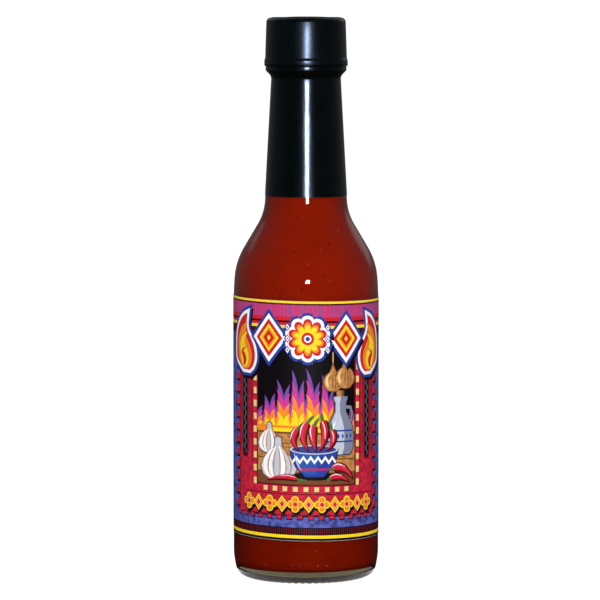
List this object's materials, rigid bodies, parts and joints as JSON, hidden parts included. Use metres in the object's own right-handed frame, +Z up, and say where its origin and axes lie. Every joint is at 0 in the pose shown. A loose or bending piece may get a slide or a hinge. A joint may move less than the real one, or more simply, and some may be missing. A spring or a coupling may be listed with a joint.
{
  "type": "hot sauce bottle",
  "caption": "Long-necked clear glass bottle filled with red hot sauce, with a screw cap under a black shrink band and a colourful wrap-around paper label.",
  "frame": {"origin": "centre of the ring that the bottle stands on, at the base", "axes": "+Z up along the bottle's axis towards the cap; -Y out of the front of the label; +X to the right of it"},
  "size_m": [0.0462, 0.0462, 0.1775],
  "materials": {
    "clear_glass": "clear, smooth, faintly green where thick",
    "hot_sauce": "opaque red-brown sauce with fine darker and lighter specks",
    "cap_plastic": "black moulded plastic",
    "band_film": "glossy black shrink film",
    "label_paper": null
  },
  "bodies": {
    "root": {"glass_bottle": "clear_glass", "hot_sauce": "hot_sauce", "screw_cap": "cap_plastic", "shrink_band": "band_film", "label": "label_paper"}
  },
  "joints": []
}
